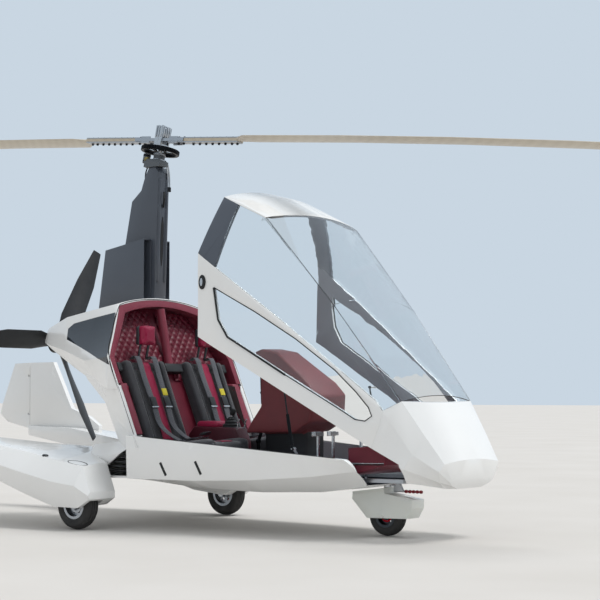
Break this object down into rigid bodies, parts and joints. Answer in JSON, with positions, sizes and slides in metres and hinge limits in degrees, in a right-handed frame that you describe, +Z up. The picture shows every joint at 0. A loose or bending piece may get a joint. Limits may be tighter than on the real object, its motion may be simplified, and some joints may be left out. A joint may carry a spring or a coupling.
{
  "type": "gyrocopter",
  "caption": "Two-seat gyrocopter with a two-blade rotor, pusher propeller, twin tail booms, three wheels and a canopy that tips forward.",
  "frame": {"origin": "on the ground under the rotor hub, at the middle of the whole box", "axes": "+X to the nose, +Y to port, +Z up"},
  "size_m": [8.5676, 1.94, 3.0905],
  "materials": {
    "white_gelcoat": "polished white gelcoat over laminate",
    "carbon_laminate": "clear-coated carbon laminate",
    "acrylic_clear": "clear formed acrylic sheet",
    "acrylic_tinted": "grey tinted acrylic sheet",
    "burgundy_leather": "burgundy leather, quilted or plain",
    "seat_fabric": "dark grey woven seat cover",
    "foam_leather": "dark leather over foam",
    "dark_steel": "black powder-coated steel",
    "plated_steel": "zinc-plated machined steel",
    "grey_alloy": "satin machined aluminium",
    "black_alloy": "black anodised aluminium",
    "engine_casting": "sand-cast aluminium",
    "blade_laminate": "sand-coloured blade laminate",
    "propeller_laminate": "black propeller laminate",
    "tyre_rubber": "worn black tyre rubber",
    "red_cover": "red moulded plastic",
    "display_glass": "dark display panel"
  },
  "bodies": {
    "airframe": {"cockpit_tub": "white_gelcoat", "foot_box": "burgundy_leather", "canopy_rails": "grey_alloy", "rear_cowl": "white_gelcoat", "quarter_windows": "acrylic_tinted", "corner_pillars": "white_gelcoat", "side_linings": "burgundy_leather", "arch_lining": "burgundy_leather", "mast_trim": "burgundy_leather", "rear_bulkhead": "burgundy_leather", "seat_bases": "carbon_laminate", "seat_cushions": "seat_fabric", "seat_backs": "seat_fabric", "headrests": "foam_leather", "headrest_posts": "plated_steel", "centre_console": "carbon_laminate", "dash_binnacle": "burgundy_leather", "instrument_panel": "display_glass", "control_stick": "black_alloy", "rudder_pedals": "grey_alloy", "engine_block": "engine_casting", "rear_deck": "white_gelcoat", "intake_slats": "carbon_laminate", "tail_booms": "white_gelcoat", "tail_fins": "white_gelcoat", "mast_fairing": "carbon_laminate", "mast_scoops": "carbon_laminate", "rotor_head": "black_alloy", "main_axles": "plated_steel", "nose_leg": "plated_steel", "pitot_tube": "grey_alloy", "pitot_cover": "red_cover"},
    "rotor": {"rotor_ring": "dark_steel", "rotor_tower": "grey_alloy", "rotor_hub_bar": "plated_steel", "rotor_blades": "blade_laminate"},
    "propeller": {"propeller_hub": "black_alloy", "propeller_blades": "propeller_laminate"},
    "main_wheel_port": {"main_tyre_port": "tyre_rubber", "main_rim_port": "grey_alloy"},
    "main_wheel_starboard": {"main_tyre_starboard": "tyre_rubber", "main_rim_starboard": "grey_alloy"},
    "nose_gear": {"nose_spat": "white_gelcoat"},
    "nose_wheel": {"nose_tyre": "tyre_rubber", "nose_rim": "grey_alloy"},
    "rudder_port": {"rudder_port": "white_gelcoat"},
    "rudder_starboard": {"rudder_starboard": "white_gelcoat"},
    "canopy_carriage": {"canopy_carriage": "grey_alloy"},
    "canopy": {"canopy_roof": "white_gelcoat", "canopy_pillars": "carbon_laminate", "canopy_frame": "white_gelcoat", "canopy_nose": "white_gelcoat", "windscreen": "acrylic_clear", "canopy_side_windows": "acrylic_clear"},
    "stay_port": {"stay_body_port": "dark_steel"},
    "stay_starboard": {"stay_body_starboard": "dark_steel"},
    "stay_rod_port": {"stay_rod_port": "plated_steel"},
    "stay_rod_starboard": {"stay_rod_starboard": "plated_steel"}
  },
  "joints": [
    {"name": "rotor_spin", "type": "hinge", "parent": "airframe", "child": "rotor", "pos_m": [0.00861, 0, 2.782], "axis": [0.0906, 0.1386, 0.9862], "continuous": true},
    {"name": "propeller_spin", "type": "hinge", "parent": "airframe", "child": "propeller", "pos_m": [-1.04, 0, 1.315], "axis": [1, 0, 0], "continuous": true},
    {"name": "canopy_tilt", "type": "hinge", "parent": "canopy_carriage", "child": "canopy", "pos_m": [2.28, 0, 0.375], "axis": [0, 1, 0], "range_deg": [-24, 0]},
    {"name": "canopy_run", "type": "slide", "parent": "airframe", "child": "canopy_carriage", "axis": [1, 0, 0], "range_m": [-0.306, 0]},
    {"name": "nose_steer", "type": "hinge", "parent": "airframe", "child": "nose_gear", "pos_m": [1.971, 0, 0.318], "axis": [0, 0, 1], "range_deg": [-30, 30]},
    {"name": "nose_wheel_spin", "type": "hinge", "parent": "nose_gear", "child": "nose_wheel", "pos_m": [1.971, 0, 0.131], "axis": [0, 1, 0], "continuous": true},
    {"name": "rudder_port_turn", "type": "hinge", "parent": "airframe", "child": "rudder_port", "pos_m": [-2.14, 0.8, 0.915], "axis": [0, 0, 1], "range_deg": [-25, 25]},
    {"name": "rudder_starboard_turn", "type": "hinge", "parent": "airframe", "child": "rudder_starboard", "pos_m": [-2.14, -0.8, 0.915], "axis": [0, 0, 1], "range_deg": [-25, 25]},
    {"name": "main_wheel_port_spin", "type": "hinge", "parent": "airframe", "child": "main_wheel_port", "pos_m": [-0.029, 0.814, 0.165], "axis": [0, 1, 0], "continuous": true},
    {"name": "stay_port_swing", "type": "hinge", "parent": "canopy_carriage", "child": "stay_port", "pos_m": [1.568, 0.51, 0.571], "axis": [0, 1, 0], "range_deg": [-73, 0]},
    {"name": "stay_port_slide", "type": "slide", "parent": "stay_port", "child": "stay_rod_port", "axis": [-0.1706, 0, 0.9853], "range_m": [-0.164, 0]},
    {"name": "main_wheel_starboard_spin", "type": "hinge", "parent": "airframe", "child": "main_wheel_starboard", "pos_m": [-0.029, -0.814, 0.165], "axis": [0, 1, 0], "continuous": true},
    {"name": "stay_starboard_swing", "type": "hinge", "parent": "canopy_carriage", "child": "stay_starboard", "pos_m": [1.568, -0.51, 0.571], "axis": [0, 1, 0], "range_deg": [-73, 0]},
    {"name": "stay_starboard_slide", "type": "slide", "parent": "stay_starboard", "child": "stay_rod_starboard", "axis": [-0.1706, 0, 0.9853], "range_m": [-0.164, 0]}
  ],
  "couplings": [
    {"joint": "canopy_run", "follows": "canopy_tilt", "m_per_rad": 0.72575},
    {"joint": "rudder_starboard_turn", "follows": "rudder_port_turn", "ratio": 1},
    {"joint": "stay_port_swing", "follows": "canopy_tilt", "ratio": 3.0047},
    {"joint": "stay_port_slide", "follows": "canopy_tilt", "m_per_rad": 0.38591},
    {"joint": "stay_starboard_swing", "follows": "canopy_tilt", "ratio": 3.0047},
    {"joint": "stay_starboard_slide", "follows": "canopy_tilt", "m_per_rad": 0.38591}
  ]
}
